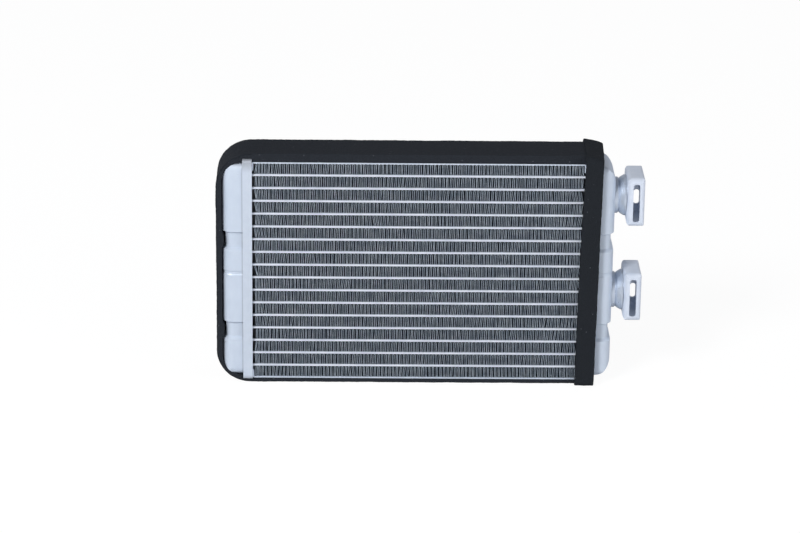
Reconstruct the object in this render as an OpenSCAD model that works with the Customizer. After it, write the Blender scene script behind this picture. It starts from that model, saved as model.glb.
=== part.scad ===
// Heater core: flat tubes and folded fins between two tanks, with two pipe couplings and foam seals.
// +X points to the couplings, +Y to the back, +Z up. The origin is the centre of the underside.

/* [Core] */
// Width of the core between the two header plates
core_w = 225.6; // [160:0.1:260]
// Height of the core over both side plates
core_h = 156.6; // [150:0.1:175]
// Number of flat tubes
tube_n = 16; // [16:1:18]
// Thickness of a flat tube
tube_t = 1.6; // [1.4:0.05:2.2]
// Depth of a flat tube, front to back
tube_d = 32; // [26:0.5:32]
// Wall of a flat tube
tube_wall = 0.35; // [0.25:0.05:0.5]
// How far a tube stands into the tank
tube_stand = 1.5; // [0.5:0.1:2.5]

/* [Fins] */
// Depth of the fin strip, front to back
fin_d = 31.6; // [24:0.2:32]
// Length of one full fold of the fin strip
fin_fold = 5.2; // [5.2:0.1:9]
// Thickness of the fin sheet
fin_t = 0.22; // [0.15:0.01:0.3]
// Space between the fin strip and a header plate
fin_end_gap = 1.5; // [1.2:0.1:3]
// Space left for the braze between a fold and a tube
braze_gap = 0.04; // [0.02:0.01:0.1]

/* [Side plates] */
// Thickness of a side plate
plate_t = 0.9; // [0.8:0.1:2]
// Depth of a side plate, front to back
plate_d = 32; // [26:0.5:34]
// Height of the turned-over end of a side plate
plate_tab_h = 5; // [2:0.5:6.5]
// Thickness of the turned-over end
plate_tab_t = 0.9; // [0.6:0.1:1]

/* [Header plates] */
// Depth of a header plate, front to back
header_d = 36.4; // [36.4:0.2:38]
// Width of a header plate's side wall, along the tubes
header_w = 6.4; // [5:0.1:9]
// Sheet thickness of a header plate
header_t = 1; // [0.9:0.1:1.2]
// How far a header plate stands past the side plates, above and below
header_over = 1.5; // [0.5:0.1:2]
// How far the middle of a header plate lies above the middle of the tubes and fins
header_up = 0.8; // [0:0.1:1]
// Corner radius of a header plate
header_r = 2.6; // [1.6:0.1:4]

/* [Tank covers] */
// How far a tank cover stands out from its header plate
tank_out = 14.2; // [11:0.1:18]
// Wall of a tank cover
tank_wall = 1; // [0.8:0.1:1.1]
// Radius along a tank cover's long edges
tank_edge_r = 7.2; // [6.5:0.1:9]
// Radius of a tank cover's upper end, seen from the front
tank_top_r = 14; // [10:0.5:16]
// Radius of a tank cover's lower end, seen from the front
tank_foot_r = 14; // [10:0.5:16]
// Radius of a tank cover's ends, seen along the tubes
tank_end_r = 6; // [5:0.5:9]
// How far a tank cover's end lies inside the end of its header plate
tank_end_in = 2.6; // [2:0.1:5]
// Clearance between a tank cover's foot and the header plate
foot_gap = 0.1; // [0.05:0.05:0.2]
// Depth of the waists pressed into a tank cover
waist_in = 2.1; // [1:0.1:2.6]
// Height of the upper waist above the middle of the core
waist_up = 21.4; // [19:0.1:24]
// Depth of the lower waist below the middle of the core
waist_low = 44; // [40:0.1:46]
// Height of a waist's level part
waist_h = 10; // [7:0.1:12]
// Height of the short shoulder above a waist
waist_top_h = 1.4; // [1:0.1:2]
// Height of the long shoulder below a waist
waist_foot_h = 1.8; // [1:0.1:3]

/* [Baffle] */
// Depth of the baffle below the middle of the core
baffle_low = 1.9; // [0:0.1:2.4]
// Thickness of the baffle
baffle_t = 1.2; // [0.8:0.1:1.6]
// Depth of the groove pressed in over the baffle
baffle_in = 0.5; // [0.2:0.1:0.8]
// Height of the groove pressed in over the baffle
baffle_h = 3.2; // [2.4:0.1:4]

/* [Pipe stubs] */
// Height of the upper stub above the middle of the core
stub_up = 50.7; // [46:0.1:54]
// Depth of the lower stub below the middle of the core
stub_low = 18.1; // [17.6:0.1:19]
// Radius of the bore for the pipe
stub_bore_r = 9.95; // [8:0.05:10.2]
// Outer radius of a stub at the tank
stub_r = 12.4; // [12:0.1:13]
// Length of a stub's plain root outside the tank
stub_root = 2.1; // [2:0.1:6]
// Depth of the groove behind the flare
stub_groove = 0.9; // [0.5:0.1:1.2]
// Half length of that groove, along the pipe
stub_groove_w = 0.9; // [0.6:0.1:1.4]
// Outer radius of the flare against the cage
flare_r = 14; // [13.4:0.1:14.6]
// Length of the flare's slope
flare_l = 2.6; // [1.5:0.1:4]
// Length of the flare's round rim
flare_rim = 1.1; // [0.6:0.1:2]
// Radius of the neck that holds the cage
neck_r = 12.2; // [11.6:0.1:12.6]
// Outer radius of the rolled bead inside the cage
bead_r = 13.2; // [12.9:0.1:13.6]
// Length of the rolled bead's rim along the pipe
bead_l = 1.2; // [0.8:0.1:2]

/* [Coupling cages] */
// Length of a cage along the pipe
cage_l = 12.1; // [11:0.1:16]
// Depth of a cage, front to back
cage_d = 31; // [30:0.1:34]
// Height of a cage above the pipe's axis
cage_up = 16.6; // [15.6:0.1:20]
// Depth of a cage below the pipe's axis
cage_low = 17.8; // [16:0.1:20]
// Sheet thickness of a cage
cage_t = 1.2; // [0.8:0.1:1.4]
// Radius of a cage's corners, seen along the pipe
cage_r = 3.2; // [2.5:0.1:4]
// Radius of a cage's edges on the tank's side
cage_back_r = 3.8; // [2.4:0.1:4]
// Radius of a cage's edges on the open side
cage_front_r = 2.2; // [1.5:0.1:2.4]
// Radius of the round mouth on the open side
mouth_r = 11.6; // [11:0.1:13]
// Width of the clip slot, along the pipe
slot_w = 4.5; // [4.2:0.1:5]
// Height of the clip slot
slot_h = 27; // [20:0.5:28]
// How far the slot's middle lies below the pipe's axis
slot_low = 1; // [0:0.1:2]
// Distance from the cage's tank side to the slot's middle
slot_at = 6.5; // [6:0.1:7]
// Corner radius of the slot and of the window
slot_r = 1.7; // [0.6:0.1:1.8]
// Distance from the cage's tank side to the middle of the window behind
window_at = 8.8; // [8:0.1:9]
// Width of the window behind, along the pipe
window_w = 3.8; // [3.7:0.1:4]
// Height of the window behind
window_h = 10.4; // [6:0.1:14]
// Depth of the window's middle below the pipe's axis
window_low = 6.2; // [4:0.1:8]
// Clearance between stub and cage
cage_gap = 0.15; // [0.1:0.05:0.3]

/* [Foam] */
// Depth of the foam band, front to back
band_d = 32; // [24:0.5:34]
// Thickness of the foam band along the top
band_top_t = 5.5; // [3:0.1:8]
// Thickness of the foam band round the left tank
band_side_t = 3.8; // [3:0.1:8]
// Thickness of the foam band under the core, squashed by its weight
band_foot_t = 3; // [2:0.1:6]
// Outer radius of the foam band's upper corner
band_top_r = 21; // [16:0.5:24]
// Outer radius of the foam band's lower corner
band_foot_r = 21; // [18:0.5:22]
// Width of the foam strip, along the core
strip_w = 12; // [10:0.1:16]
// Place of the foam strip's middle, from the right header plate's tube side
strip_at = 3.7; // [2:0.1:6]
// Lean of the foam strip, in degrees
strip_lean = 0.7; // [0:0.1:1]
// Thickness of the foam strip in front and behind
strip_t = 4; // [2:0.1:6]
// Thickness of the foam strip over the top
strip_top_t = 4.4; // [2:0.1:6]
// Radius of the foam strip's corners
strip_r = 4; // [2:0.1:6]
// Clearance between foam and metal
foam_gap = 0.2; // [0.1:0.05:0.3]

/* [Hidden] */
// Heights of the middle of the tubes and fins and of the header plates, above the underside
mid_z = band_foot_t + foam_gap + core_h / 2;
header_z = mid_z + header_up;
row_n = tube_n + 1;
row_h = (core_h - 2 * plate_t - tube_n * tube_t) / row_n;
row_pitch = row_h + tube_t;
tube_l = core_w + 2 * (header_t + tube_stand);
fin_l = core_w - 2 * fin_end_gap;
fold_n = floor(fin_l / fin_fold);
fold_l = fin_l / fold_n;
// The fold's sheet measured straight up, where it leans
fold_rise = row_h - 2 * braze_gap;
fin_up = fin_t * sqrt(1 + pow(2 * fold_rise / fold_l, 2));

header_x = core_w / 2;
header_h = core_h / 2 + header_over;
header_edge_x = header_x + header_w;
// Clearance all round a tube or a stub that is brazed into its hole
slot_fit = 0.05;
foot_x = header_x + header_t + foot_gap;
foot_d = header_d / 2 - header_t - foot_gap;
foot_h = header_h - header_t - foot_gap;
// The skin starts inside the foot, so the two overlap
seam_x = header_edge_x - 2 * tank_wall;
tank_x = header_edge_x + tank_out;
tank_h = header_h - tank_end_in;
cavity_x = tank_x - tank_wall;

cage_x = tank_x + stub_root + 2 * stub_groove_w + flare_l + flare_rim + cage_gap;
bead_x = cage_x + cage_t + cage_gap;
stub_x = cavity_x - (tank_edge_r - tank_wall) / 2;
stub_end_x = bead_x + bead_r - neck_r + bead_l;
stub_zs = [header_z + stub_up, header_z - stub_low];
waist_zs = [header_z + waist_up, header_z - waist_low];
baffle_z = header_z - baffle_low;
// The groove over the baffle is half level and half slopes
groove_step = baffle_h / 4;

band_x = tank_x + band_side_t + foam_gap;
strip_x = header_x + strip_at;
strip_in = header_h + foam_gap;
strip_depth = header_d / 2 + foam_gap;
// Longer than the whole object
far = 2 * (core_w + core_h);
// How far a cut runs past the piece, and a thinner skin where two shapes share a face
over = 1;
eps = 0.01;
$fn = 48;

aluminium = [0.80, 0.82, 0.86];
tube_grey = [0.78, 0.80, 0.82];
fin_grey = [0.42, 0.45, 0.49];
foam_black = [0.13, 0.14, 0.16];

// Heights of the tubes and of the fin rows, counted from the bottom
function tube_z(i) = mid_z + (i - (tube_n + 1) / 2) * row_pitch;
function row_z(i) = mid_z + (i - (row_n + 1) / 2) * row_pitch;

// Extrudes a profile drawn in X and Z, centred front to back
module along_y(depth) {
    translate([0, depth / 2, 0]) rotate([90, 0, 0]) linear_extrude(depth) children();
}

// Extrudes a profile drawn in Y and Z from x towards +X
module along_x(x, length) {
    translate([x, 0, 0]) rotate([90, 0, 90]) linear_extrude(length) children();
}

// A rectangle from corner to corner
module box_2d(x0, y0, x1, y1) {
    translate([x0, y0]) square([x1 - x0, y1 - y0]);
}

// A rectangle with its own radius at each corner: lower left, lower right, upper right, upper left
module round_box_2d(x0, y0, x1, y1, r) {
    difference() {
        box_2d(x0, y0, x1, y1);
        corner_waste(x0, y0, 1, 1, r[0]);
        corner_waste(x1, y0, -1, 1, r[1]);
        corner_waste(x1, y1, -1, -1, r[2]);
        corner_waste(x0, y1, 1, -1, r[3]);
    }
}

// What a corner of radius r loses; sx and sy point into the rectangle
module corner_waste(x, y, sx, sy, r) {
    if (r > 0) difference() {
        box_2d(min(x - sx * eps, x + sx * r), min(y - sy * eps, y + sy * r),
               max(x - sx * eps, x + sx * r), max(y - sy * eps, y + sy * r));
        translate([x + sx * r, y + sy * r]) circle(r);
    }
}

// Section of a flat tube, drawn in Y and Z
module tube_section(depth, thick) {
    square([depth - thick, thick], center = true);
    for (s = [-1, 1]) translate([s * (depth - thick) / 2, 0]) circle(thick / 2);
}

module tube(i) {
    color(tube_grey)
    translate([0, 0, tube_z(i)]) along_x(-tube_l / 2, tube_l) difference() {
        tube_section(tube_d, tube_t);
        tube_section(tube_d - 2 * tube_wall, tube_t - 2 * tube_wall);
    }
}

// One strip folded up and down between two tubes
module fin_row(i) {
    top = [for (k = [0:2 * fold_n]) [k * fold_l / 2, k % 2 == 0 ? fin_up : fold_rise]];
    under = [for (k = [2 * fold_n:-1:0]) [k * fold_l / 2, k % 2 == 0 ? 0 : fold_rise - fin_up]];
    color(fin_grey)
    translate([-fin_l / 2, 0, row_z(i) - fold_rise / 2]) along_y(fin_d) polygon(concat(top, under));
}

// A side plate with its ends turned towards the fins; side is 1 above and -1 below
module side_plate(side) {
    plate_l = core_w - 2 * foot_gap;
    color(aluminium)
    translate([0, 0, mid_z]) rotate([0, side < 0 ? 180 : 0, 0]) along_y(plate_d) difference() {
        round_box_2d(-plate_l / 2, core_h / 2 - plate_t - plate_tab_h, plate_l / 2, core_h / 2,
                     [0, 0, plate_tab_t, plate_tab_t]);
        box_2d(-plate_l / 2 + plate_tab_t, core_h / 2 - plate_t - plate_tab_h - eps,
               plate_l / 2 - plate_tab_t, core_h / 2 - plate_t);
    }
}

// The right header plate: a tray with a slot for each tube
module header_plate() {
    color(aluminium) difference() {
        along_x(header_x, header_w) header_outline(0);
        along_x(header_x + header_t, header_w) header_outline(header_t);
        for (i = [1:tube_n]) translate([0, 0, tube_z(i)])
            along_x(header_x - over, header_t + 2 * over) tube_section(tube_d + 2 * slot_fit, tube_t + 2 * slot_fit);
    }
}

// Outline of the header plate, seen along the tubes, drawn in by the given amount
module header_outline(inset) {
    d = header_d / 2 - inset;
    h = header_h - inset;
    r = header_r - inset;
    round_box_2d(-d, header_z - h, d, header_z + h, [r, r, r, r]);
}

// Outside of the right tank cover with its skin drawn in by the given amount
module tank_form(inset) {
    x = tank_x - inset;
    d = foot_d - inset;
    h = tank_h - inset;
    edge = tank_edge_r - inset;
    end = tank_end_r - inset;
    difference() {
        intersection() {
            linear_extrude(far) round_box_2d(seam_x, -d, x, d, [0, edge, edge, 0]);
            along_y(far) round_box_2d(0, header_z - h, x, header_z + h,
                                      [0, tank_foot_r - inset, tank_top_r - inset, 0]);
            along_x(0, far) round_box_2d(-d, header_z - h, d, header_z + h, [end, end, end, end]);
        }
        for (z = waist_zs) translate([0, 0, z])
            waist_ring(inset, waist_in, waist_h / 2, waist_top_h, waist_foot_h);
        translate([0, 0, baffle_z]) waist_ring(inset, baffle_in, groove_step, groove_step, groove_step);
    }
}

// What a pressed waist takes off the tank's skin: level for half_h each way, then sloping shoulders
module waist_ring(inset, depth, half_h, top_h, foot_h) {
    edge = tank_edge_r - inset;
    core_x = tank_x - tank_edge_r;
    core_d = foot_d - tank_edge_r;
    profile = [[edge - depth, -half_h], [edge - depth, half_h], [edge + eps, half_h + top_h],
               [edge + depth, half_h + top_h], [edge + depth, -half_h - foot_h],
               [edge + eps, -half_h - foot_h]];
    for (s = [-1, 1]) {
        translate([core_x, s * core_d, 0]) rotate([0, 0, s > 0 ? 0 : -90])
            rotate_extrude(angle = 90) polygon(profile);
        along_x(header_edge_x, core_x - header_edge_x) polygon([for (p = profile) [s * (core_d + p[0]), p[1]]]);
    }
    along_y(2 * core_d) polygon([for (p = profile) [core_x + p[0], p[1]]]);
}

// The right tank cover: a pressed cap, with a hole for each stub that it carries
module tank_cover(stubs) {
    color(aluminium) difference() {
        union() {
            tank_form(0);
            along_x(foot_x, header_edge_x - foot_x) tank_foot(0);
        }
        tank_form(tank_wall);
        along_x(foot_x - eps, header_edge_x - foot_x - tank_wall) tank_foot(tank_wall);
        for (z = stubs) translate([tank_x - tank_edge_r, 0, z]) rotate([0, 90, 0])
            cylinder(r = stub_r + slot_fit, h = 2 * tank_edge_r);
    }
}

// Section of the cover's foot, where it sits in the header plate
module tank_foot(inset) {
    d = foot_d - inset;
    h = foot_h - inset;
    r = header_r - header_t - foot_gap / 2;
    round_box_2d(-d, header_z - h, d, header_z + h, [r, r, r, r]);
}

module baffle() {
    d = foot_d - tank_wall - foot_gap;
    r = tank_edge_r - tank_wall - foot_gap - baffle_in;
    x = cavity_x - foot_gap - baffle_in;
    color(aluminium) translate([0, 0, baffle_z - baffle_t / 2]) linear_extrude(baffle_t)
        round_box_2d(foot_x, -d + baffle_in, x, d - baffle_in, [0, r, r, 0]);
}

// A stub turned about the pipe's axis, from inside the tank to the bead inside the cage
module pipe_stub(z) {
    groove_x = tank_x + stub_root;
    flare_x = groove_x + 2 * stub_groove_w;
    rim_x = flare_x + flare_l;
    outline = [
        [stub_bore_r, stub_x], [stub_r, stub_x],
        [stub_r, groove_x], [stub_r - stub_groove, groove_x + stub_groove_w], [stub_r, flare_x],
        [flare_r, rim_x], [flare_r, rim_x + flare_rim],
        [neck_r, rim_x + flare_rim], [neck_r, bead_x],
        [bead_r, bead_x + bead_r - neck_r], [bead_r, stub_end_x],
        [stub_bore_r, stub_end_x]
    ];
    color(aluminium) translate([0, 0, z]) rotate([0, 90, 0]) rotate_extrude() polygon(outline);
}

// Outside of a cage about the pipe's axis with its skin drawn in by the given amount
module cage_form(inset) {
    x0 = cage_x + inset;
    x1 = cage_x + cage_l - inset;
    d = cage_d / 2 - inset;
    z0 = -cage_low + inset;
    z1 = cage_up - inset;
    c = cage_r - inset;
    b = cage_back_r - inset;
    f = cage_front_r - inset;
    intersection() {
        along_x(x0 - over, x1 - x0 + 2 * over) round_box_2d(-d, z0, d, z1, [c, c, c, c]);
        along_y(2 * (d + over)) round_box_2d(x0, z0, x1, z1, [b, f, f, b]);
        translate([0, 0, z0 - over]) linear_extrude(z1 - z0 + 2 * over)
            round_box_2d(x0, -d, x1, d, [b, f, f, b]);
    }
}

// A square cage round the stub's bead, with a slot in front for a clip and a window behind
module coupling_cage(z) {
    color(aluminium) translate([0, 0, z]) difference() {
        cage_form(0);
        cage_form(cage_t);
        translate([cage_x - over, 0, 0]) rotate([0, 90, 0]) cylinder(r = neck_r + cage_gap, h = cage_l / 2);
        translate([cage_x + cage_l / 2, 0, 0]) rotate([0, 90, 0]) cylinder(r = mouth_r, h = cage_l);
        cage_hole(-1, slot_at, slot_low, slot_w, slot_h);
        cage_hole(1, window_at, window_low, window_w, window_h);
    }
}

// A round-cornered hole through the front (side -1) or back (side 1) wall of a cage
module cage_hole(side, at, low, w, h) {
    translate([cage_x + at, side * cage_d / 2, -low]) along_y(cage_d / 2)
        round_box_2d(-w / 2, -h / 2, w / 2, h / 2, [slot_r, slot_r, slot_r, slot_r]);
}

// What the foam band and the strip must stay clear of, seen from the front
module core_outline() {
    g = foam_gap;
    box_2d(-header_x, mid_z - core_h / 2 - g, far, mid_z + core_h / 2 + g);
    box_2d(-header_edge_x - g, header_z - header_h - g, -header_x + g, header_z + header_h + g);
    round_box_2d(-tank_x - g, header_z - tank_h - g, -header_x, header_z + tank_h + g,
                 [tank_foot_r + g, 0, 0, tank_top_r + g]);
}

// Foam stuck along the top, round the left tank and along the bottom
module foam_band() {
    top_z = mid_z + core_h / 2 + foam_gap + band_top_t;
    color(foam_black) difference() {
        along_y(band_d) difference() {
            round_box_2d(-band_x, 0, strip_x, top_z, [band_foot_r, 0, 0, band_top_r]);
            core_outline();
        }
        lean() translate([-strip_w / 2 - foam_gap, -far / 2, -far / 2]) cube(far);
    }
}

// Leans the strip about the middle of the header plate
module lean() {
    translate([strip_x, 0, header_z]) rotate([0, strip_lean, 0]) children();
}

// Foam wrapped once round the core over the right header plate
module foam_strip() {
    d = strip_depth + strip_t;
    color(foam_black) intersection() {
        lean() along_x(-strip_w / 2, strip_w) difference() {
            round_box_2d(-d, -header_z - strip_r, d, strip_in + strip_top_t, [strip_r, strip_r, strip_r, strip_r]);
            box_2d(-strip_depth, -strip_in, strip_depth, strip_in);
        }
        translate([-far / 2, -far / 2, 0]) cube(far);
    }
}

for (i = [1:tube_n]) tube(i);
for (i = [1:row_n]) fin_row(i);
side_plate(1);  // top_side_plate
side_plate(-1);  // bottom_side_plate
mirror([1, 0, 0]) header_plate();  // left_header_plate
header_plate();  // right_header_plate
mirror([1, 0, 0]) tank_cover([]);  // left_tank_cover
tank_cover(stub_zs);  // right_tank_cover
baffle();
pipe_stub(stub_zs[0]);  // upper_pipe_stub
pipe_stub(stub_zs[1]);  // lower_pipe_stub
coupling_cage(stub_zs[0]);  // upper_coupling_cage
coupling_cage(stub_zs[1]);  // lower_coupling_cage
foam_band();
foam_strip();
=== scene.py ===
"""Heater core: the finish of its metal, its fine fins and its foam seals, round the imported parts."""

import logging
import math
from dataclasses import dataclass, field
from enum import Enum

import bpy
import numpy as np
from mathutils import Euler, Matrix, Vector, noise


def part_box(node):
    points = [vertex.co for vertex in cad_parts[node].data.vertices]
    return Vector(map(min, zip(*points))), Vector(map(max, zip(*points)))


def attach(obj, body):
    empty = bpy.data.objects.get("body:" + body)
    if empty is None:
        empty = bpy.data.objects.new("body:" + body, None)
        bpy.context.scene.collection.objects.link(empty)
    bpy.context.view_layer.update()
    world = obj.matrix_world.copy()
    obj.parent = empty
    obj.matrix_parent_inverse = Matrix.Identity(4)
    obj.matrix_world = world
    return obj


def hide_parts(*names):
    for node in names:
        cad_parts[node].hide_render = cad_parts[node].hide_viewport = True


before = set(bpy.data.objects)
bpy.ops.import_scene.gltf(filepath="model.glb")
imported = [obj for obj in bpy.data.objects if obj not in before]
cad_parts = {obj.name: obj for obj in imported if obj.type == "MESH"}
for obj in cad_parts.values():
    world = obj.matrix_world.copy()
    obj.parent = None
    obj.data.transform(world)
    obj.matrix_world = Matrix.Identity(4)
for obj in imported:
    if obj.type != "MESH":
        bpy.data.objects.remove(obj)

log = logging.getLogger("heater_core")

MM = 0.001
BODY = "root"
Colour = tuple[float, float, float]
Point = tuple[float, float, float]


class Slot(Enum):
    """The record's material slots."""

    TUBE = "tube"
    FIN = "fin"
    SHEET = "sheet"
    TANK = "tank"
    STUB = "stub"
    CAGE = "cage"
    FOAM = "foam"


class Side(Enum):
    """The two ends of the core, seen from the front."""

    LEFT = "left"
    RIGHT = "right"


class Shader:
    """A material's node tree, with short calls that add and join its nodes."""

    def __init__(self, name: str) -> None:
        """Starts an empty material with one Principled surface.

        Args:
            name: The material's name.
        """
        self.material = bpy.data.materials.new(name)
        self.material.use_nodes = True
        self.tree = self.material.node_tree
        self.tree.nodes.clear()
        self.output = self.add("ShaderNodeOutputMaterial")
        self.surface = self.add("ShaderNodeBsdfPrincipled")
        self.place = self.add("ShaderNodeTexCoord").outputs["Object"]
        self.join(self.surface.outputs["BSDF"], self.output.inputs["Surface"])

    def add(self, kind: str, **values: object) -> bpy.types.Node:
        """Adds a node.

        Args:
            kind: Blender's name for the kind of node.
            **values: Sockets to set, by name, with a space written as an underscore.

        Returns:
            The new node.
        """
        node = self.tree.nodes.new(kind)
        for name, value in values.items():
            node.inputs[name.replace("_", " ")].default_value = value
        return node

    def join(self, start: bpy.types.NodeSocket, end: bpy.types.NodeSocket) -> None:
        """Links one socket to another."""
        self.tree.links.new(start, end)

    def noise(self, size: float, detail: float, rough: float, stretch: Point = (1, 1, 1)) -> bpy.types.NodeSocket:
        """Adds a cloud pattern.

        Args:
            size: Size of its patches, in metres.
            detail: How many finer layers it has.
            rough: Weight of the finer layers.
            stretch: How much longer the patches are along X, Y and Z.

        Returns:
            The pattern's value, about 0.5 on average.
        """
        scale = self.add("ShaderNodeVectorMath")
        scale.operation = "MULTIPLY"
        scale.inputs[1].default_value = tuple(1 / s for s in stretch)
        self.join(self.place, scale.inputs[0])
        cloud = self.add("ShaderNodeTexNoise", Scale=1 / size, Detail=detail, Roughness=rough)
        self.join(scale.outputs[0], cloud.inputs["Vector"])
        return cloud.outputs["Fac"]

    def cells(self, size: float) -> bpy.types.NodeSocket:
        """Adds a pattern of foam cells of the given size and returns the distance from each cell's middle."""
        cell = self.add("ShaderNodeTexVoronoi", Scale=1 / size)
        self.join(self.place, cell.inputs["Vector"])
        return cell.outputs["Distance"]

    def blend(self, value: bpy.types.NodeSocket, low: Colour, high: Colour, start: float, end: float) -> bpy.types.NodeSocket:
        """Turns a value into a colour.

        Args:
            value: The pattern.
            low: Colour where the pattern is at or under start.
            high: Colour where it is at or over end.
            start: Lower end of the change.
            end: Upper end of the change.

        Returns:
            The colour.
        """
        ramp = self.add("ShaderNodeValToRGB")
        for point, place, colour in zip(ramp.color_ramp.elements, (start, end), (low, high)):
            point.position = place
            point.color = (*colour, 1)
        self.join(value, ramp.inputs["Fac"])
        return ramp.outputs["Color"]

    def mix(self, share: bpy.types.NodeSocket, low: object, high: object) -> bpy.types.NodeSocket:
        """Mixes two colours.

        Args:
            share: 0 for the first colour, 1 for the second.
            low: The first colour, plain or from a pattern.
            high: The second colour, plain or from a pattern.

        Returns:
            The mixed colour.
        """
        node = self.add("ShaderNodeMix")
        node.data_type = "RGBA"
        ends = [socket for socket in node.inputs if socket.type == "RGBA"]
        for socket, colour in zip(ends, (low, high)):
            if isinstance(colour, tuple):
                socket.default_value = (*colour, 1)
            else:
                self.join(colour, socket)
        self.join(share, node.inputs[0])
        return next(socket for socket in node.outputs if socket.type == "RGBA")

    def step(self, value: bpy.types.NodeSocket, start: float, end: float) -> bpy.types.NodeSocket:
        """Rises from 0 to 1 as the value goes from start to end."""
        rise = self.add("ShaderNodeMapRange", From_Min=start, From_Max=end)
        self.join(value, rise.inputs["Value"])
        return rise.outputs["Result"]

    def along(self, axis: str, start: float, end: float) -> bpy.types.NodeSocket:
        """Rises from 0 to 1 along an axis, the same way on both sides of the middle plane.

        Args:
            axis: X, Y or Z.
            start: Distance from the middle plane where the rise starts.
            end: Distance where it ends.

        Returns:
            The share.
        """
        parts = self.add("ShaderNodeSeparateXYZ")
        self.join(self.place, parts.inputs[0])
        size = self.add("ShaderNodeMath")
        size.operation = "ABSOLUTE"
        self.join(parts.outputs[axis], size.inputs[0])
        return self.step(size.outputs[0], start, end)

    def specks(self, gap: float, size: float) -> bpy.types.NodeSocket:
        """Adds sparse round specks of the given size, about one to each cube of side gap."""
        return self.step(self.cells(gap), size / gap, 0.6 * size / gap)

    def span(self, value: bpy.types.NodeSocket, low: float, high: float) -> bpy.types.NodeSocket:
        """Spreads the middle half of a pattern from low to high."""
        spread = self.add("ShaderNodeMapRange", From_Min=0.3, From_Max=0.7, To_Min=low, To_Max=high)
        self.join(value, spread.inputs["Value"])
        return spread.outputs["Result"]

    def relief(self, layers: list[tuple[bpy.types.NodeSocket, float]]) -> None:
        """Lays bumps on the surface.

        Args:
            layers: Each pattern with its depth in metres.
        """
        below = None
        for value, depth in layers:
            bump = self.add("ShaderNodeBump", Distance=depth)
            self.join(value, bump.inputs["Height"])
            if below is not None:
                self.join(below, bump.inputs["Normal"])
            below = bump.outputs["Normal"]
        self.join(below, self.surface.inputs["Normal"])

    def set(self, **values: float) -> None:
        """Sets sockets of the surface itself, with a space in a name written as an underscore."""
        for name, value in values.items():
            self.surface.inputs[name.replace("_", " ")].default_value = value


@dataclass(frozen=True)
class SatinAluminium:
    """Pressed or brazed aluminium under a thin haze of flux, with bands of painted shade towards an end or into its
    depth, and a darker line along a seam.

    Sizes and depths are in metres. Each band is an axis and the two distances between which its darkening grows.
    """

    name: str
    colour: Colour
    haze: Colour
    speck: Colour = (0.30, 0.31, 0.34)
    speck_gap: float = 14 * MM
    speck_size: float = 0.35 * MM
    # colour of the bands of painted shade and of the darker seam line
    shade_and_seam_colour: Colour = (0.32, 0.335, 0.37)
    shade_and_seam_bands: tuple[tuple[str, float, float], ...] = ()
    metallic: float = 0.4
    shine: float = 0.5
    roughness: float = 0.40
    roughness_spread: float = 0.05
    patch: float = 9 * MM
    dimple: float = 3.5 * MM
    dimple_depth: float = 0.08 * MM
    grain: float = 0.3 * MM
    grain_depth: float = 0.02 * MM
    stretch: Point = (1, 1, 1)

    def build(self) -> bpy.types.Material:
        """Makes the material."""
        shader = Shader(self.name)
        plain = shader.blend(shader.noise(self.patch, 6, 0.62, self.stretch), self.colour, self.haze, 0.36, 0.66)
        shaded_colour = plain
        # painted shade: each band darkens the colour towards an end or into the depth; the tank's seam band is a darker
        # line at the header plate instead
        for axis, start, end in self.shade_and_seam_bands:
            shaded_colour = shader.mix(shader.along(axis, start, end), shaded_colour, self.shade_and_seam_colour)
        specks = shader.specks(self.speck_gap, self.speck_size)
        shader.join(shader.mix(specks, shaded_colour, self.speck), shader.surface.inputs["Base Color"])
        dimples = shader.noise(self.dimple, 3, 0.5, self.stretch)
        spread = shader.span(dimples, self.roughness - self.roughness_spread, self.roughness + self.roughness_spread)
        shader.join(spread, shader.surface.inputs["Roughness"])
        shader.relief([(dimples, self.dimple_depth), (shader.noise(self.grain, 2, 0.5), self.grain_depth)])
        shader.set(Metallic=self.metallic, Specular_IOR_Level=self.shine)
        return shader.material


@dataclass(frozen=True)
class FinFoil:
    """Thin fin strip: its own bright colour along its cut edges, and painted shade, nearly black, further in.

    Sizes are in metres; half_depth is from the middle of the core to the strip's edge.
    """

    name: str
    edge: Colour = (0.72, 0.81, 0.91)
    edge_dull: Colour = (0.37, 0.45, 0.55)
    # painted shade for the fin deeper than its edge band
    inside: Colour = (0.018, 0.028, 0.043)
    half_depth: float = 15.8 * MM
    edge_width: float = 0.5 * MM
    metallic: float = 0.3
    roughness: float = 0.45
    patch: float = 5 * MM
    fleck: float = 0.9 * MM
    fleck_depth: float = 0.03 * MM

    def build(self) -> bpy.types.Material:
        """Makes the material."""
        shader = Shader(self.name)
        patches = shader.blend(shader.noise(self.patch, 5, 0.7), self.edge_dull, self.edge, 0.36, 0.64)
        # painted shade: only the band along each cut edge keeps the foil's colour; deeper in, the fin is painted nearly
        # black
        outer = shader.along("Y", self.half_depth - self.edge_width, self.half_depth - 0.5 * self.edge_width)
        shader.join(shader.mix(outer, self.inside, patches), shader.surface.inputs["Base Color"])
        shader.relief([(shader.noise(self.fleck, 2, 0.5), self.fleck_depth)])
        shader.set(Metallic=self.metallic, Roughness=self.roughness, Specular_IOR_Level=0.12)
        return shader.material


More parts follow.
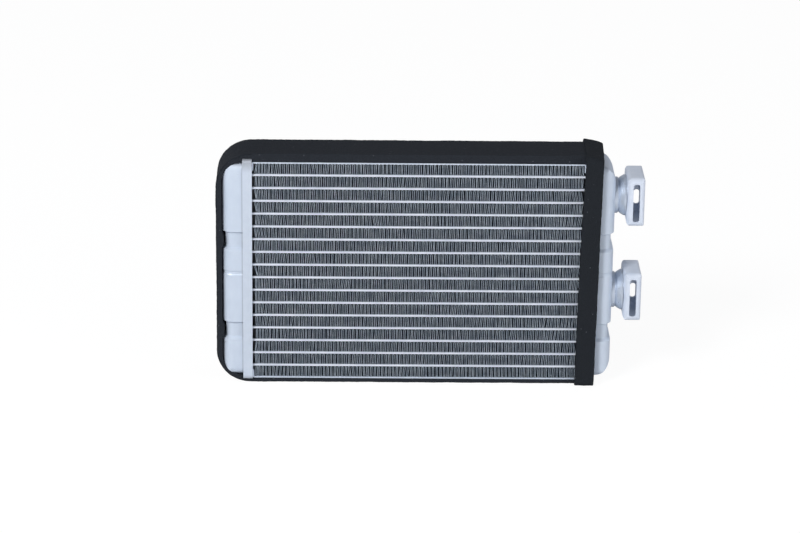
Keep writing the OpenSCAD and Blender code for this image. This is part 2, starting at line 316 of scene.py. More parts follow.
@dataclass(frozen=True)
class SealFoam:
    """Closed-cell seal foam: matt and nearly black, with fine pores and paler flecks."""

    name: str
    colour: Colour = (0.0150, 0.0180, 0.0235)
    pale: Colour = (0.027, 0.031, 0.039)
    lint: Colour = (0.13, 0.14, 0.16)
    lint_gap: float = 5 * MM
    lint_size: float = 0.34 * MM
    cloud: float = 4 * MM
    pore: float = 0.9 * MM
    pore_depth: float = 0.25 * MM
    grit: float = 0.35 * MM
    grit_depth: float = 0.12 * MM

    def build(self) -> bpy.types.Material:
        """Makes the material."""
        shader = Shader(self.name)
        grit = shader.noise(self.grit, 3, 0.65)
        plain = shader.blend(grit, self.colour, self.pale, 0.40, 0.68)
        lint = shader.specks(self.lint_gap, self.lint_size)
        shader.join(shader.mix(lint, plain, self.lint), shader.surface.inputs["Base Color"])
        shader.relief([(shader.cells(self.pore), self.pore_depth), (grit, self.grit_depth),
                       (shader.noise(self.cloud, 2, 0.5), self.pore_depth)])
        shader.set(Roughness=0.92, Specular_IOR_Level=0.15)
        return shader.material


@dataclass
class Finishes:
    """Every material of the object, built once."""

    tank: bpy.types.Material = field(init=False)
    header: bpy.types.Material = field(init=False)
    sheet: bpy.types.Material = field(init=False)
    tube: bpy.types.Material = field(init=False)
    stub: bpy.types.Material = field(init=False)
    cage: bpy.types.Material = field(init=False)
    fin: bpy.types.Material = field(init=False)
    band_foam: bpy.types.Material = field(init=False)
    strip_foam: bpy.types.Material = field(init=False)

    def __post_init__(self) -> None:
        """Builds the materials."""
        seam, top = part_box("right_header_plate")[1].x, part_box("right_header_plate")[1].z
        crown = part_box("left_tank_cover")[1].z
        self.tank = SatinAluminium("pressed_tank_sheet", (0.62, 0.695, 0.805), (0.58, 0.655, 0.77), metallic=0.25,
                                   roughness=0.47, stretch=(1, 1, 2),
                                   # first a darker line where the cover meets the header plate, then painted shade that
                                   # darkens the cover towards its top
                                   shade_and_seam_bands=(("X", seam + 1.1 * MM, seam - 0.5 * MM),
                                           ("Z", crown - 6 * MM, crown + 2 * MM))).build()
        self.header = SatinAluminium("header_plate_sheet", (0.655, 0.725, 0.83), (0.61, 0.68, 0.79),
                                     # painted shade: the plate darkens towards its top and towards its foot
                                     shade_and_seam_bands=(("Z", top - 9 * MM, top + 1.5 * MM), ("Z", 6 * MM, 1 * MM))).build()
        self.sheet = SatinAluminium("side_plate_sheet", (0.70, 0.77, 0.88), (0.60, 0.67, 0.78)).build()
        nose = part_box("tube_1")[1].y
        self.tube = SatinAluminium("brazed_tube_wall", (0.82, 0.86, 0.93), (0.68, 0.73, 0.82), patch=5 * MM,
                                   stretch=(3, 1, 1), shine=0.15, shade_and_seam_colour=(0.045, 0.06, 0.085),
                                   # painted shade: the tube walls go dark from 0.7 mm behind their front edge, down
                                   # between the fins
                                   shade_and_seam_bands=(("Y", nose - 0.7 * MM, nose - 2.0 * MM),)).build()
        self.stub = SatinAluminium("turned_stub", (0.64, 0.71, 0.82), (0.54, 0.61, 0.72), metallic=0.6,
                                   roughness=0.32, stretch=(0.3, 1, 1)).build()
        self.cage = SatinAluminium("pressed_cage_sheet", (0.72, 0.78, 0.89), (0.66, 0.73, 0.85), metallic=0.2,
                                   roughness=0.34, dimple_depth=0.05 * MM).build()
        self.fin = FinFoil("louvred_fin_foil").build()
        self.band_foam = SealFoam("soft_band_foam").build()
        self.strip_foam = SealFoam("dense_strip_foam", (0.0120, 0.0145, 0.0185), (0.020, 0.0235, 0.029)).build()


def dress(name: str, material: bpy.types.Material) -> None:
    """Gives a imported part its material.

    Args:
        name: The part's node.
        material: Its finish.
    """
    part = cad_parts[name]
    part.data.materials.clear()
    part.data.materials.append(material)
    log.info("dressed %s", name)


class MeshDraft:
    """Points and four-sided faces, gathered before they become one piece."""

    def __init__(self) -> None:
        """Starts with nothing."""
        self.points: list[np.ndarray] = []
        self.faces: list[np.ndarray] = []
        self.count = 0

    def add(self, points: np.ndarray, faces: np.ndarray) -> None:
        """Adds a solid.

        Args:
            points: Its points, one row each, in metres.
            faces: Its faces, four indices of those points each.
        """
        self.points.append(points)
        self.faces.append(faces + self.count)
        self.count += len(points)

    def add_ribbons(self, outline: np.ndarray, near: np.ndarray, far: np.ndarray) -> None:
        """Adds many thin closed strips at once, each with a left and a right edge line.

        Args:
            outline: Left and right edge points in X and Z, shaped (strips, points, 2, 2).
            near: Depth of the front face, shaped (strips, points, 2).
            far: Depth of the back face, shaped (strips, points, 2).
        """
        strips, steps = outline.shape[:2]
        front = np.stack([outline[..., 0], near, outline[..., 1]], axis=-1)
        back = np.stack([outline[..., 0], far, outline[..., 1]], axis=-1)
        ring = np.stack([front[:, :, 0], front[:, :, 1], back[:, :, 1], back[:, :, 0]], axis=2)
        ids = np.arange(strips * steps * 4).reshape(strips, steps, 4)
        low, high = ids[:, :-1], ids[:, 1:]
        sides = np.stack([low, np.roll(low, -1, axis=2), np.roll(high, -1, axis=2), high], axis=-1)
        ends = np.concatenate([ids[:, 0, ::-1], ids[:, -1]])
        self.add(ring.reshape(-1, 3), np.concatenate([sides.reshape(-1, 4), ends.reshape(-1, 4)]))

    def add_loft(self, rings: np.ndarray, joined: bool) -> None:
        """Adds a skin through closed rings.

        Args:
            rings: Points shaped (rings, points in a ring, 3).
            joined: True if the last ring meets the first; otherwise both ends are closed with a fan.
        """
        count, around = rings.shape[:2]
        ids = np.arange(count * around).reshape(count, around)
        low = ids if joined else ids[:-1]
        high = np.roll(ids, -1, axis=0) if joined else ids[1:]
        faces = [np.stack([low, np.roll(low, -1, 1), np.roll(high, -1, 1), high], axis=-1).reshape(-1, 4)]
        points = [rings.reshape(-1, 3)]
        if not joined:
            for end, order in ((0, -1), (-1, 1)):
                middle = count * around + (0 if end == 0 else 1)
                points.append(rings[end].mean(axis=0)[None])
                ring = ids[end][::order]
                faces.append(np.stack([ring, np.roll(ring, -1), np.full(around, middle),
                                       np.full(around, middle)], axis=-1))
        self.add(np.concatenate(points), np.concatenate(faces))

    def build(self, name: str, material: bpy.types.Material, smooth: bool) -> bpy.types.Object:
        """Makes the piece.

        Args:
            name: Its name.
            material: Its finish.
            smooth: True for smooth shading.

        Returns:
            The new object, at the frame's origin.
        """
        points = np.concatenate(self.points)
        faces = np.concatenate(self.faces)
        mesh = bpy.data.meshes.new(name)
        mesh.from_pydata(points.tolist(), [], [list(dict.fromkeys(f)) for f in faces.tolist()])
        mesh.materials.append(material)
        mesh.polygons.foreach_set("use_smooth", np.full(len(mesh.polygons), smooth))
        mesh.validate()
        piece = bpy.data.objects.new(name, mesh)
        bpy.context.scene.collection.objects.link(piece)
        return piece


@dataclass
class FinPack:
    """The folded fin strips, at the real strip's pitch, with rounded folds and louvres."""

    rows: int
    fold: float = 2.48 * MM
    inner_share: float = 0.43
    sheet: float = 0.13 * MM
    rim: float = 0.22 * MM
    fillet: float = 0.16 * MM
    start_gap: tuple[float, float] = (0.1 * MM, 1.0 * MM)
    sway: float = 0.16 * MM
    sway_step: float = 5 * MM
    crest: float = 0.85 * MM
    edge_strip: float = 0.9 * MM
    louvre: float = 1.45 * MM
    louvre_gap: float = 0.25 * MM
    louvre_swing: float = 0.27 * MM
    louvres: int = 3
    spacing_wobble: float = 0.05
    end_bunch: float = 0.25
    end_reach: float = 5 * MM
    lean: float = 0.09 * MM
    crest_steps: int = 6

    def build(self, finishes: Finishes) -> None:
        """Makes one piece for each row and puts it in place of the plain strip."""
        for row in range(1, self.rows + 1):
            node = f"fin_row_{row}"
            piece = self.strip(node, np.random.default_rng(row), finishes.fin)
            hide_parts(node)
            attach(piece, BODY)
            log.info("built %s", piece.name)

    def wall_places(self, x0: float, x1: float, rng: np.random.Generator) -> np.ndarray:
        """Places the strip's walls along the row, a little uneven and closer together at the ends.

        Args:
            x0: Where the row starts.
            x1: Where it ends.
            rng: The row's own random numbers.

        Returns:
            The walls' X.
        """
        count = round((x1 - x0) / (self.fold / 2))
        middle = np.linspace(x0, x1, count)
        edge = np.minimum(middle - x0, x1 - middle)
        steps = 2 * np.where(np.arange(count) % 2 == 0, self.inner_share, 1 - self.inner_share)
        steps *= 1 + self.spacing_wobble * rng.standard_normal(count) - self.end_bunch * np.exp(-edge / self.end_reach)
        places = np.concatenate([[0], np.cumsum(steps)])
        return x0 + self.sheet + (x1 - x0 - 2 * self.sheet) * places / places[-1]

    def strip(self, node: str, rng: np.random.Generator, material: bpy.types.Material) -> bpy.types.Object:
        """Builds one row's strip.

        Args:
            node: The plain strip that it stands for.
            rng: The row's own random numbers.
            material: The strip's finish.

        Returns:
            The new piece.
        """
        low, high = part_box(node)
        start, end = low.x + rng.uniform(*self.start_gap), high.x - rng.uniform(*self.start_gap)
        places = self.wall_places(start, end, rng)
        knots = np.arange(start, end + self.sway_step, self.sway_step)
        ends = 1 + np.exp(-np.minimum(places - start, end - places) / self.end_reach)
        sway = self.sway * ends * np.interp(places, knots, rng.standard_normal(len(knots)))
        tops = places + sway + self.lean * rng.standard_normal(len(places))
        feet = places - sway + self.lean * rng.standard_normal(len(places))
        for line in (tops, feet):
            line[:] = np.clip(np.sort(line), low.x + self.rim, high.x - self.rim)
        draft = MeshDraft()
        self.add_crests(draft, tops, feet, low, high)
        levels = np.array([low.z + self.crest, high.z - self.crest])
        bands = self.wall_bands(low.y, high.y)
        for start, end, swing in bands:
            thick = self.rim if (start, end) in (bands[0][:2], bands[-1][:2]) else self.sheet
            self.add_walls(draft, feet, tops, levels, (start, end), swing, thick)
        return draft.build(f"{node}_strip", material, False)

    def wall_bands(self, front: float, back: float) -> list[tuple[float, float, float]]:
        """Lists the bands of a wall, front to back: start, end and how far the band's louvre swings."""
        bands = [(front, front + self.edge_strip, 0.0)]
        for turn in range(self.louvres):
            start = front + self.edge_strip + turn * self.louvre
            bands.append((start + self.louvre_gap / 2, start + self.louvre - self.louvre_gap / 2, self.louvre_swing))
        reach = self.edge_strip + self.louvres * self.louvre
        bands.append((front + reach, back - reach, 0.0))
        mirrored = [(front + back - end, front + back - start, -swing) for start, end, swing in bands[:-1]]
        return bands + mirrored

    def add_walls(self, draft: MeshDraft, feet: np.ndarray, tops: np.ndarray, levels: np.ndarray,
                  depth: tuple[float, float], swing: float, thick: float) -> None:
        """Adds one band of every wall, straight or turned as a louvre."""
        middle = np.stack([feet, tops], axis=1)
        half = thick / 2
        corners = np.empty((len(feet), 2, 4, 3))
        for index, (side, end) in enumerate(((-1, 0), (1, 0), (1, 1), (-1, 1))):
            corners[:, :, index, 0] = middle + side * half + (2 * end - 1) * swing
            corners[:, :, index, 1] = depth[end]
            corners[:, :, index, 2] = levels[None, :]
        ids = np.arange(corners.size // 3).reshape(len(feet), 2, 4)
        low, high = ids[:, 0], ids[:, 1]
        sides = np.stack([low, np.roll(low, -1, 1), np.roll(high, -1, 1), high], axis=-1).reshape(-1, 4)
        draft.add(corners.reshape(-1, 3), np.concatenate([sides, low[:, ::-1], high]))

    def add_crests(self, draft: MeshDraft, tops: np.ndarray, feet: np.ndarray, low: Vector, high: Vector) -> None:
        """Adds the rounded folds that join the walls, in turn above and below."""
        turn = np.linspace(0, math.pi, self.crest_steps + 1)
        for up, walls in ((True, tops), (False, feet)):
            first = 0 if up else 1
            left, right = walls[first:-1:2], walls[first + 1::2]
            left = left[:len(right)]
            centre, reach = (left + right) / 2, (right - left) / 2
            base = high.z - self.crest if up else low.z + self.crest
            sign = 1 if up else -1
            outline = np.empty((len(left), len(turn), 2, 2))
            for edge, offset in ((0, -self.fillet / 2), (1, self.fillet / 2)):
                radius = reach[:, None] + (-offset)
                outline[:, :, edge, 0] = centre[:, None] - radius * np.cos(turn)[None]
                rise = self.crest - self.fillet / 2 - offset
                outline[:, :, edge, 1] = base + sign * rise * np.sin(turn)[None]
            if not up:
                outline = outline[:, ::-1]
            shape = outline.shape[:3]
            draft.add_ribbons(outline, np.full(shape, low.y), np.full(shape, high.y))


@dataclass
class TubeStack:
    """The flat tubes and the two side plates."""

    tubes: int

    def build(self, finishes: Finishes) -> None:
        """Dresses the tubes and the side plates."""
        for tube in range(1, self.tubes + 1):
            dress(f"tube_{tube}", finishes.tube)
        for place in ("top", "bottom"):
            dress(f"{place}_side_plate", finishes.sheet)


@dataclass
class Tank:
    """One tank: its header plate, its pressed cover and, on the right, the baffle inside."""

    side: Side

    def build(self, finishes: Finishes) -> None:
        """Dresses the tank's parts."""
        dress(f"{self.side.value}_header_plate", finishes.header)
        dress(f"{self.side.value}_tank_cover", finishes.tank)
        if self.side is Side.RIGHT:
            dress("baffle", finishes.sheet)


@dataclass
class Coupling:
    """One pipe coupling: the stub on the tank and the cage that holds the pipe's clip."""

    level: str

    def build(self, finishes: Finishes) -> None:
        """Dresses the stub and the cage."""
        dress(f"{self.level}_pipe_stub", finishes.stub)
        dress(f"{self.level}_coupling_cage", finishes.cage)


@dataclass
class FoamSkin:
    """How the cut foam's surface stands proud and sinks, in metres."""

    swell: float = 0.25 * MM
    swell_size: float = 14 * MM
    pit: float = 0.17 * MM
    pit_size: float = 1.9 * MM

    def rough(self, rings: np.ndarray, outward: np.ndarray, floor: float) -> np.ndarray:
        """Moves a skin's points in and out.

        Args:
            rings: The points, shaped (rings, points in a ring, 3).
            outward: The direction out of the foam at each point.
            floor: The level that nothing goes under.

        Returns:
            The moved points.
        """
        moved = rings.copy()
        for index in np.ndindex(rings.shape[:2]):
            place = Vector(rings[index])
            wave = self.swell * noise.noise(place / self.swell_size) + self.pit * noise.noise(place / self.pit_size)
            moved[index] += wave * outward[index]
        moved[..., 2] = np.maximum(moved[..., 2], floor)
        return moved


def section(depth: float, outer_r: float, inner_r: float, step: float) -> tuple[np.ndarray, np.ndarray]:
    """Outline of a foam bar's section, from the middle of its inner face round.

    Args:
        depth: Width of the bar.
        outer_r: Radius of the edges on the outer face, also how far they reach along it.
        inner_r: Radius of the edges on the inner face.
        step: Distance between points on the flat faces.

    Returns:
        Places across the width, and pairs of share of the thickness and offset in metres.
    """
    half = depth / 2
    turn = np.linspace(0, math.pi / 2, 5)
    flat_in = np.arange(-half + inner_r, half - inner_r, step)
    flat_out = np.arange(half - outer_r, -half + outer_r, -step)
    rise = np.linspace(0.12, 0.88, 7)
    across = np.concatenate([
        flat_in, half - inner_r + inner_r * np.sin(turn), np.full(len(rise), half),
        half - outer_r + outer_r * np.cos(turn), flat_out,
        -half + outer_r - outer_r * np.sin(turn), np.full(len(rise), -half),
        -half + inner_r - inner_r * np.cos(turn)])
    share = np.concatenate([
        np.zeros(len(flat_in)), np.zeros(5), rise, np.ones(5), np.ones(len(flat_out)), np.ones(5), rise[::-1],
        np.zeros(5)])
    offset = np.concatenate([
        np.zeros(len(flat_in)), inner_r * (1 - np.cos(turn)), np.zeros(len(rise)),
        -outer_r * (1 - np.sin(turn)), np.zeros(len(flat_out)),
        -outer_r * (1 - np.cos(turn)), np.zeros(len(rise)), inner_r * (1 - np.sin(turn))])
    return across, np.stack([share, offset], axis=1)


@dataclass
class FoamBand:
    """The foam along the top, round the left tank and along the bottom."""

    top_r: float = 24 * MM
    foot_r: float = 23 * MM
    top_rise: float = 0.3 * MM
    tank_top_r: float = 14 * MM
    tank_foot_r: float = 14 * MM
    end_in: float = 2.6 * MM
    end_out: float = 2.6 * MM
    end_run: float = 12 * MM
    waists: tuple[float, float] = (103.7 * MM, 38.3 * MM)
    waist_half: float = 7 * MM
    bulge: float = 2.1 * MM
    front_share: float = 0.7
    front_bulge: float = 0.2 * MM
    edge_r: float = 0.7 * MM
    inner_edge_r: float = 0.3 * MM
    clear: float = 0.2 * MM
    step: float = 1.1 * MM
    skin: FoamSkin = field(default_factory=FoamSkin)

    def build(self, finishes: Finishes) -> None:
        """Makes the band and puts it in place of the plain one."""
        low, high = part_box("foam_band")
        outer, inward = self.outer_line(low, Vector((high.x, high.y, high.z + self.top_rise)))
        inner = self.inner_line(outer, inward)
        across, parts = section(high.y - low.y, self.edge_r, self.inner_edge_r, self.step)
        thick = np.linalg.norm(outer - inner, axis=1)
        up = thick[:, None] * parts[None, :, 0] + parts[None, :, 1]
        rings = np.empty((len(outer), len(across), 3))
        rings[..., 0] = inner[:, None, 0] - inward[:, None, 0] * up
        rings[..., 1] = (low.y + high.y) / 2 + across[None]
        rings[..., 2] = inner[:, None, 1] - inward[:, None, 1] * up
        outward = np.zeros_like(rings)
        face = (parts[:, 0] > 0.5)[None]
        outward[..., 0] = np.where(face, -inward[:, None, 0], 0)
        outward[..., 2] = np.where(face, -inward[:, None, 1], 0)
        flank = (np.abs(across) > (high.y - low.y) / 2 - self.inner_edge_r)[None]
        outward[..., 1] = np.where(flank, np.sign(across)[None], 0)
        past = (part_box("left_header_plate")[0].x - inner[:, 0]) / (2 * MM)
        at_tank = np.clip(past, 0, 1)[:, None] * (parts[:, 0] < 0.1)[None]
        pressed = self.pressed_in(rings, at_tank)
        rings[..., 0] += pressed * inward[:, None, 0]
        rings[..., 2] += pressed * inward[:, None, 1]
        at_top = (rings[..., 2] > (low.z + high.z) / 2) * np.clip(1 - (high.x - rings[..., 0]) / self.end_run, 0, 1)
        rings[..., 0] += self.end_out * at_top
        draft = MeshDraft()
        draft.add_loft(self.skin.rough(rings, outward, low.z), False)
        piece = draft.build("foam_band_skin", finishes.band_foam, True)
        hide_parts("foam_band")
        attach(piece, BODY)
        log.info("built %s", piece.name)

    def outer_line(self, low: Vector, high: Vector) -> tuple[np.ndarray, np.ndarray]:
        """Walks the outer face from the top right to the bottom right.

        Args:
            low: Lowest corner of the band.
            high: Highest corner of the band.

        Returns:
            Points in X and Z, and the direction into the foam at each.
        """
        points, inward = [], []

        def run(start: tuple[float, float], end: tuple[float, float], way: tuple[float, float]) -> None:
            """Adds a straight stretch."""
            count = max(2, round(math.dist(start, end) / self.step))
            for share in np.linspace(0, 1, count, endpoint=False):
                points.append((start[0] + share * (end[0] - start[0]), start[1] + share * (end[1] - start[1])))
                inward.append(way)

        def bend(centre: tuple[float, float], radius: float, start: float) -> None:
            """Adds a quarter turn to the left, seen along the band."""
            count = max(8, round(radius * math.pi / 2 / self.step))
            for share in np.linspace(0, 1, count, endpoint=False):
                angle = start + share * math.pi / 2
                points.append((centre[0] + radius * math.cos(angle), centre[1] + radius * math.sin(angle)))
                inward.append((-math.cos(angle), -math.sin(angle)))

        top, foot = self.top_r, self.foot_r
        run((high.x, high.z), (low.x + top, high.z), (0, -1))
        bend((low.x + top, high.z - top), top, math.pi / 2)
        run((low.x, high.z - top), (low.x, low.z + foot), (1, 0))
        bend((low.x + foot, low.z + foot), foot, math.pi)
        run((low.x + foot, low.z), (high.x, low.z), (0, 1))
        points.append((high.x, low.z))
        inward.append((0, 1))
        return np.array(points), np.array(inward, float)

    def inner_line(self, outer: np.ndarray, inward: np.ndarray) -> np.ndarray:
        """Finds where each line into the foam meets the metal's outline, less the clearance."""
        reach = 12 * MM
        fine = 0.05 * MM
        inner = np.empty_like(outer)
        for index, (start, way) in enumerate(zip(outer, inward)):
            line = start[None] + way[None] * np.arange(0, reach, fine)[:, None]
            met = np.flatnonzero(self.in_metal(line))
            inner[index] = line[met[0] if len(met) else -1]
        return inner

    def in_metal(self, points: np.ndarray) -> np.ndarray:
        """True for each point in X and Z that is inside the core, the header plate or the left tank."""
        inside = np.zeros(len(points), bool)
        plate_low, plate_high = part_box("bottom_side_plate")[0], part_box("top_side_plate")[1]
        inside |= (points[:, 0] > plate_low.x) & (np.abs(points[:, 1] - (plate_low.z + plate_high.z) / 2)
                                                  < (plate_high.z - plate_low.z) / 2 + self.clear)
        low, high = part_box("left_header_plate")
        inside |= ((points[:, 0] > low.x - self.clear) & (points[:, 0] < high.x + self.clear)
                   & (points[:, 1] > low.z - self.clear) & (points[:, 1] < high.z + self.clear))
        cover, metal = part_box("left_tank_cover")[0].x - self.clear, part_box("left_header_plate")
        half = (metal[1].z - metal[0].z) / 2 - self.end_in + self.clear
        middle = (metal[1].z + metal[0].z) / 2
        tank = (points[:, 0] > cover) & (points[:, 0] < high.x) & (np.abs(points[:, 1] - middle) < half)
        for radius, sign in ((self.tank_top_r + self.clear, 1), (self.tank_foot_r + self.clear, -1)):
            centre = np.array([cover + radius, middle + sign * (half - radius)])
            gap = points - centre
            corner = (gap[:, 0] < 0) & (sign * gap[:, 1] > 0)
            tank &= ~(corner & (np.hypot(gap[:, 0], gap[:, 1]) > radius))
        return inside | tank

    def pressed_in(self, rings: np.ndarray, inner: np.ndarray) -> np.ndarray:
        """How far the band's inner face fills the tank's waists and swells past the tank's rounded front edge."""
        level = sum(np.clip(1.6 * (1 - np.abs(rings[..., 2] - waist) / self.waist_half), 0, 1) for waist in self.waists)
        behind = np.clip((rings[..., 1] + 12 * MM) / (4 * MM), 0, 1)
        waist = self.bulge * level * (self.front_share + (1 - self.front_share) * behind)
        front = self.front_bulge * np.clip((-11 * MM - rings[..., 1]) / (3 * MM), 0, 1)
        return np.maximum(waist, front) * inner


@dataclass
class FoamStrip:
    """The foam wrapped once round the core over the right header plate."""

    lean: float = math.radians(0.7)
    corner_r: float = 4 * MM
    inner_r: float = 1.0 * MM
    clear: float = 0.2 * MM
    width: float = 12.0 * MM
    edge_r: float = 0.8 * MM
    inner_edge_r: float = 0.3 * MM
    step: float = 1.1 * MM
    sag: float = 2.6 * MM
    off: float = 0.6 * MM
    top_off: float = 0.65 * MM
    back_off: float = 2.0 * MM
    foot_spread: float = 1.1 * MM
    spread_from: float = 150 * MM
    spread_run: float = 60 * MM
    reach: tuple[float, float] = (20 * MM, 70 * MM)
    skin: FoamSkin = field(default_factory=FoamSkin)

    def build(self, finishes: Finishes) -> None:
        """Makes the strip and puts it in place of the plain one."""
        low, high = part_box("foam_strip")
        plate_low, plate_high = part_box("right_header_plate")
        outer = self.loop(low.y, low.z, high.y, high.z, self.corner_r)
        inner = self.loop(plate_low.y - self.clear, plate_low.z - self.clear,
                          plate_high.y + self.clear, plate_high.z + self.clear, self.inner_r)
        across, parts = section(self.width, self.edge_r, self.inner_edge_r, self.step)
        way = outer - inner
        thick = np.linalg.norm(way, axis=1)
        way /= thick[:, None]
        up = np.maximum(thick[:, None] * parts[None, :, 0] + parts[None, :, 1], 0)
        rings = np.empty((len(outer), len(across), 3))
        rings[..., 0] = across[None]
        rings[..., 1] = inner[:, None, 0] + way[:, None, 0] * up
        rings[..., 2] = inner[:, None, 1] + way[:, None, 1] * up
        outward = np.zeros_like(rings)
        face = (parts[:, 0] > 0.5)[None]
        outward[..., 1] = np.where(face, way[:, None, 0], 0)
        outward[..., 2] = np.where(face, way[:, None, 1], 0)
        flank = (np.abs(across) > self.width / 2 - self.inner_edge_r)[None]
        outward[..., 0] = np.where(flank, np.sign(across)[None], 0)
        rings = self.skewed(self.settle(rings, plate_high.z), low.y, high)
        rings = self.skin.rough(self.leaned(rings, (low + high) / 2, (plate_low.z + plate_high.z) / 2), outward, low.z)
        draft = MeshDraft()
        draft.add_loft(rings, True)
        piece = draft.build("foam_strip_skin", finishes.strip_foam, True)
        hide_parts("foam_strip")
        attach(piece, BODY)
        log.info("built %s", piece.name)

    def loop(self, y0: float, z0: float, y1: float, z1: float, radius: float) -> np.ndarray:
        """Walks a rounded rectangle in Y and Z, with the same number of points whatever its size."""
        across, tall, turn = 26, 110, 8
        centres = [(y1 - radius, z1 - radius, 0.0), (y0 + radius, z1 - radius, math.pi / 2),
                   (y0 + radius, z0 + radius, math.pi), (y1 - radius, z0 + radius, 1.5 * math.pi)]
        counts = (across, tall, across, tall)
        points: list[tuple[float, float]] = []
        for index, (y, z, start) in enumerate(centres):
            for share in np.linspace(0, 1, turn, endpoint=False):
                angle = start + share * math.pi / 2
                points.append((y + radius * math.cos(angle), z + radius * math.sin(angle)))
            y2, z2, _ = centres[(index + 1) % 4]
            angle = start + math.pi / 2
            shift = np.array([radius * math.cos(angle), radius * math.sin(angle)])
            for share in np.linspace(0, 1, counts[index], endpoint=False):
                points.append(tuple(np.array([y, z]) * (1 - share) + np.array([y2, z2]) * share + shift))
        return np.array(points)

    def settle(self, rings: np.ndarray, top: float) -> np.ndarray:
        """Lets the strip's right edge sink over the top, where no plate carries it."""
        settled = rings.copy()
        share = np.clip(rings[..., 0] / self.width + 0.5, 0, 1)
        over = np.clip((rings[..., 2] - top) / (2 * MM), 0, 1)
        settled[..., 2] -= self.sag * (0.85 * share + 0.4 * share ** 6) * over
        return settled

    def skewed(self, rings: np.ndarray, front: float, high: Vector) -> np.ndarray:
        """Lets the strip run a little outwards over the top, and spread inwards towards its foot."""
        moved = rings.copy()
        share = np.clip(rings[..., 0] / self.width + 0.5, 0, 1)
        back = np.clip((rings[..., 1] - front) / (high.y - front), 0, 1)
        reach = self.reach[0] + (self.reach[1] - self.reach[0]) * back
        rise = np.clip(1 - (high.z - rings[..., 2]) / reach, 0, 1)
        moved[..., 0] += self.off + (self.top_off + self.back_off * back * share) * rise ** 2
        moved[..., 0] -= self.foot_spread * (1 - share) * np.clip((self.spread_from - rings[..., 2]) / self.spread_run,
                                                                  0, 1)
        return moved

    def leaned(self, rings: np.ndarray, middle: Vector, level: float) -> np.ndarray:
        """Moves the strip to its place and leans it about the middle of the core."""
        moved = rings.copy()
        height = rings[..., 2] - level
        moved[..., 0] = middle.x + rings[..., 0] * math.cos(self.lean) + height * math.sin(self.lean)
        moved[..., 2] = level + height * math.cos(self.lean) - rings[..., 0] * math.sin(self.lean)
        return moved


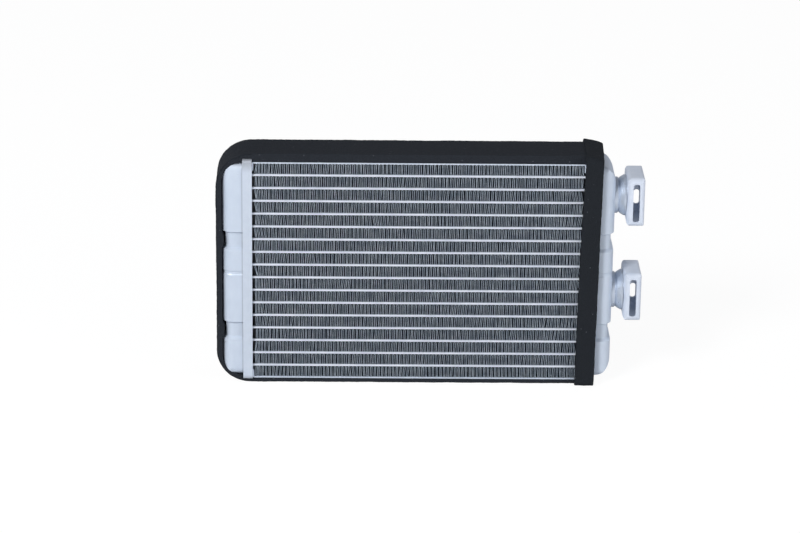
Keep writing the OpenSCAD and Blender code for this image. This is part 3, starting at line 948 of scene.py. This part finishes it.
@dataclass
class Studio:
    """The white floor, the soft lamps and the camera."""

    camera_at: Point = (-0.04373, -2.08403, 0.85959)
    camera_turn: Point = (69.4819, -0.6454, -0.6336)
    lens: float = 145.8
    floor_size: float = 14.0
    ambient: float = 0.50
    overhead: float = 0.34
    right_hand: float = 1.08
    left_hand: float = 1.10
    sky: Colour = (0.93, 0.95, 1.0)
    floor_white: float = 0.93
    floor_keeps: float = 0.10

    def build(self) -> None:
        """Sets up the camera, the world, the floor and the lamps."""
        bpy.context.scene.view_settings.view_transform = "Standard"
        self.place_camera()
        self.light_world()
        self.lay_floor()
        self.hang_lamp("key", (-1.38, -1.90, 1.78), 0.8, 58)
        self.hang_lamp("fill", (1.9, -1.2, 0.55), 1.2, 13)
        log.info("studio is ready")

    def place_camera(self) -> None:
        """Makes the camera at the photograph's angle."""
        data = bpy.data.cameras.new("camera")
        data.lens = self.lens
        data.clip_end = 100
        camera = bpy.data.objects.new("camera", data)
        camera.location = self.camera_at
        camera.rotation_euler = Euler([math.radians(a) for a in self.camera_turn], "XYZ")
        bpy.context.scene.collection.objects.link(camera)
        bpy.context.scene.camera = camera

    def seen_directly(self, tree: bpy.types.NodeTree) -> bpy.types.NodeSocket:
        """Adds a switch that is 1 for camera and transmitted rays."""
        path = tree.nodes.new("ShaderNodeLightPath")
        most = tree.nodes.new("ShaderNodeMath")
        most.operation = "MAXIMUM"
        tree.links.new(path.outputs["Is Camera Ray"], most.inputs[0])
        tree.links.new(path.outputs["Is Transmission Ray"], most.inputs[1])
        return most.outputs[0]

    def brightness(self, tree: bpy.types.NodeTree) -> bpy.types.NodeSocket:
        """Adds how bright the surround is: dimmer overhead, and brighter on the left than on the right."""
        way = tree.nodes.new("ShaderNodeSeparateXYZ")
        tree.links.new(tree.nodes.new("ShaderNodeTexCoord").outputs["Generated"], way.inputs[0])
        value = None
        spans = (("X", -1, 1, self.left_hand, self.right_hand), ("Z", 0, 1, self.ambient, self.overhead * self.ambient))
        for axis, start, end, low, high in spans:
            span = tree.nodes.new("ShaderNodeMapRange")
            for name, number in (("From Min", start), ("From Max", end), ("To Min", low), ("To Max", high)):
                span.inputs[name].default_value = number
            tree.links.new(way.outputs[axis], span.inputs["Value"])
            if value is None:
                value = span.outputs["Result"]
            else:
                both = tree.nodes.new("ShaderNodeMath")
                both.operation = "MULTIPLY"
                tree.links.new(value, both.inputs[0])
                tree.links.new(span.outputs["Result"], both.inputs[1])
                value = both.outputs[0]
        return value

    def light_world(self) -> None:
        """Makes a white surround that lights the object softly."""
        world = bpy.data.worlds.new("studio_world")
        bpy.context.scene.world = world
        world.use_nodes = True
        tree = world.node_tree
        tree.nodes.clear()
        lit = tree.nodes.new("ShaderNodeBackground")
        tree.links.new(self.brightness(tree), lit.inputs["Strength"])
        white = tree.nodes.new("ShaderNodeBackground")
        mix = tree.nodes.new("ShaderNodeMixShader")
        output = tree.nodes.new("ShaderNodeOutputWorld")
        lit.inputs["Color"].default_value = (*self.sky, 1)
        white.inputs["Color"].default_value = (1, 1, 1, 1)
        tree.links.new(self.seen_directly(tree), mix.inputs["Fac"])
        tree.links.new(lit.outputs[0], mix.inputs[1])
        tree.links.new(white.outputs[0], mix.inputs[2])
        tree.links.new(mix.outputs[0], output.inputs["Surface"])

    def lay_floor(self) -> None:
        """Lays a pale floor that shows white and keeps the object's soft shadow."""
        half = self.floor_size / 2
        mesh = bpy.data.meshes.new("floor")
        mesh.from_pydata([(-half, -half, 0), (half, -half, 0), (half, half, 0), (-half, half, 0)], [], [(0, 1, 2, 3)])
        floor = bpy.data.objects.new("floor", mesh)
        bpy.context.scene.collection.objects.link(floor)
        material = bpy.data.materials.new("white_floor")
        material.use_nodes = True
        tree = material.node_tree
        tree.nodes.clear()
        paint = tree.nodes.new("ShaderNodeBsdfDiffuse")
        paint.inputs["Color"].default_value = (0.82, 0.82, 0.82, 1)
        kept = tree.nodes.new("ShaderNodeBsdfDiffuse")
        kept.inputs["Color"].default_value = (self.floor_keeps, self.floor_keeps, self.floor_keeps, 1)
        glow = tree.nodes.new("ShaderNodeEmission")
        glow.inputs["Strength"].default_value = self.floor_white
        both = tree.nodes.new("ShaderNodeAddShader")
        mix = tree.nodes.new("ShaderNodeMixShader")
        output = tree.nodes.new("ShaderNodeOutputMaterial")
        tree.links.new(kept.outputs[0], both.inputs[0])
        tree.links.new(glow.outputs[0], both.inputs[1])
        tree.links.new(self.seen_directly(tree), mix.inputs["Fac"])
        tree.links.new(paint.outputs[0], mix.inputs[1])
        tree.links.new(both.outputs[0], mix.inputs[2])
        tree.links.new(mix.outputs[0], output.inputs["Surface"])
        mesh.materials.append(material)

    def hang_lamp(self, name: str, place: Point, size: float, power: float) -> None:
        """Hangs a square soft lamp that faces the object.

        Args:
            name: Its name.
            place: Where it hangs, in metres.
            size: Its side, in metres.
            power: Its power, in watts.
        """
        data = bpy.data.lights.new(name, "AREA")
        data.size = size
        data.energy = power
        lamp = bpy.data.objects.new(name, data)
        lamp.location = place
        aim = Vector((0, 0, 0.08)) - Vector(place)
        lamp.rotation_euler = aim.to_track_quat("-Z", "Y").to_euler()
        bpy.context.scene.collection.objects.link(lamp)


def count_nodes(prefix: str) -> int:
    """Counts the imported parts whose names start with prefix."""
    return sum(name.startswith(prefix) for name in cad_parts)


def main() -> None:
    """Builds the studio and every sub-assembly in turn."""
    logging.basicConfig(level=logging.INFO, format="%(message)s")
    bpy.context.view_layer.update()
    Studio().build()
    finishes = Finishes()
    TubeStack(count_nodes("tube_")).build(finishes)
    FinPack(count_nodes("fin_row_")).build(finishes)
    for side in Side:
        Tank(side).build(finishes)
    for level in ("upper", "lower"):
        Coupling(level).build(finishes)
    FoamBand().build(finishes)
    FoamStrip().build(finishes)


if __name__ == "__main__":
    main()
